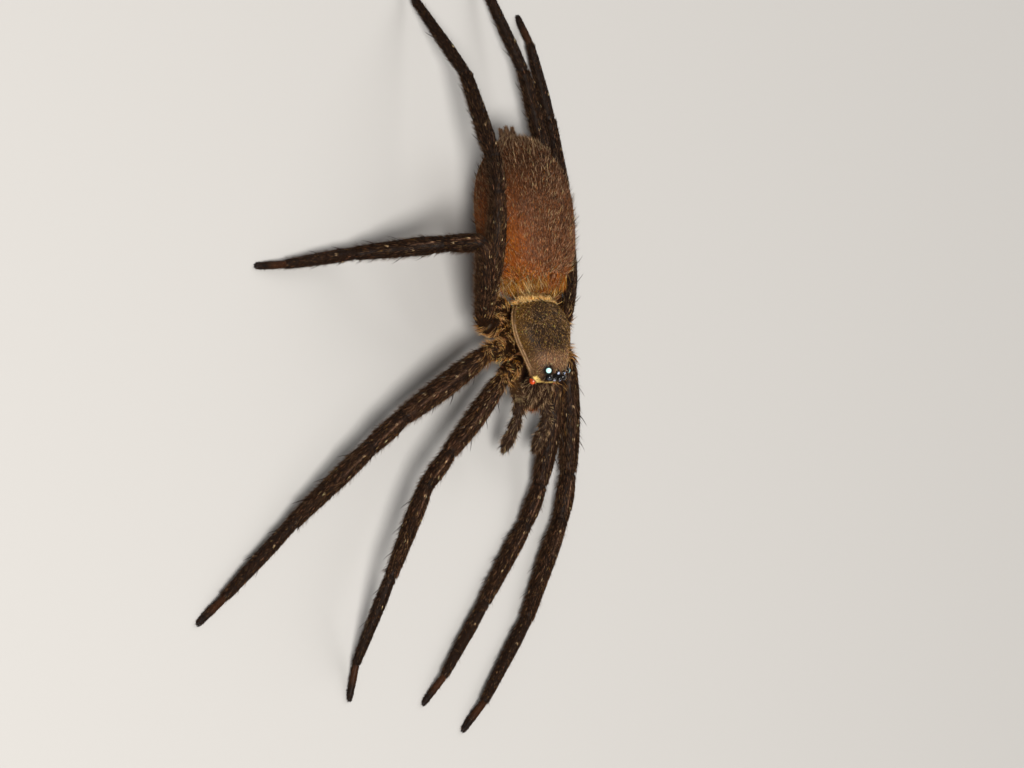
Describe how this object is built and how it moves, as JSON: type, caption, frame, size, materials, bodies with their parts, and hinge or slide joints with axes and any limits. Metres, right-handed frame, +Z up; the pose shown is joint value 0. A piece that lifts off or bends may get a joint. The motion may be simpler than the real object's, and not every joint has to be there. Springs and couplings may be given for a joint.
{
  "type": "huntsman spider",
  "caption": "Life-size still model of a huntsman spider with low, wide-spread spiny legs, an oval abdomen and a domed head with jaws and feelers.",
  "frame": {"origin": "on the floor under the middle of the overall box", "axes": "+Z up, the head points to -Y and the spider's right side is towards -X"},
  "size_m": [0.07, 0.1, 0.0163],
  "materials": {
    "carapace": "short dense hair",
    "underside": "short hair",
    "abdomen": "short dense hair",
    "spinnerets": "short hair",
    "jaw": "dark shell with pale hairs",
    "fang": "polished",
    "eye": "polished",
    "leg_base": "short hair",
    "leg": "short dense hair",
    "foot": "brush of short hair",
    "palp": "short dense hair"
  },
  "bodies": {
    "root": {"carapace": "carapace", "eye_front_middle_right": "eye", "eye_front_middle_left": "eye", "eye_front_side_right": "eye", "eye_front_side_left": "eye", "eye_back_middle_right": "eye", "eye_back_middle_left": "eye", "eye_back_side_right": "eye", "eye_back_side_left": "eye", "sternum": "underside", "abdomen": "abdomen", "pedicel": "underside", "spinnerets": "spinnerets", "chelicera_right": "jaw", "chelicera_left": "jaw", "fang_right": "fang", "fang_left": "fang", "mouthparts": "underside", "leg_right_1_coxa": "leg_base", "leg_right_1_femur": "leg", "leg_right_1_tibia": "leg", "leg_right_1_foot": "foot", "leg_right_2_coxa": "leg_base", "leg_right_2_femur": "leg", "leg_right_2_tibia": "leg", "leg_right_2_foot": "foot", "leg_right_3_coxa": "leg_base", "leg_right_3_femur": "leg", "leg_right_3_tibia": "leg", "leg_right_3_foot": "foot", "leg_right_4_coxa": "leg_base", "leg_right_4_femur": "leg", "leg_right_4_tibia": "leg", "leg_right_4_foot": "foot", "leg_left_1_coxa": "leg_base", "leg_left_1_femur": "leg", "leg_left_1_tibia": "leg", "leg_left_1_foot": "foot", "leg_left_2_coxa": "leg_base", "leg_left_2_femur": "leg", "leg_left_2_tibia": "leg", "leg_left_2_foot": "foot", "leg_left_3_coxa": "leg_base", "leg_left_3_femur": "leg", "leg_left_3_tibia": "leg", "leg_left_3_foot": "foot", "leg_left_4_coxa": "leg_base", "leg_left_4_femur": "leg", "leg_left_4_tibia": "leg", "leg_left_4_foot": "foot", "palp_right_upper": "palp", "palp_right_lower": "palp", "palp_left_upper": "palp", "palp_left_lower": "palp"}
  },
  "joints": []
}
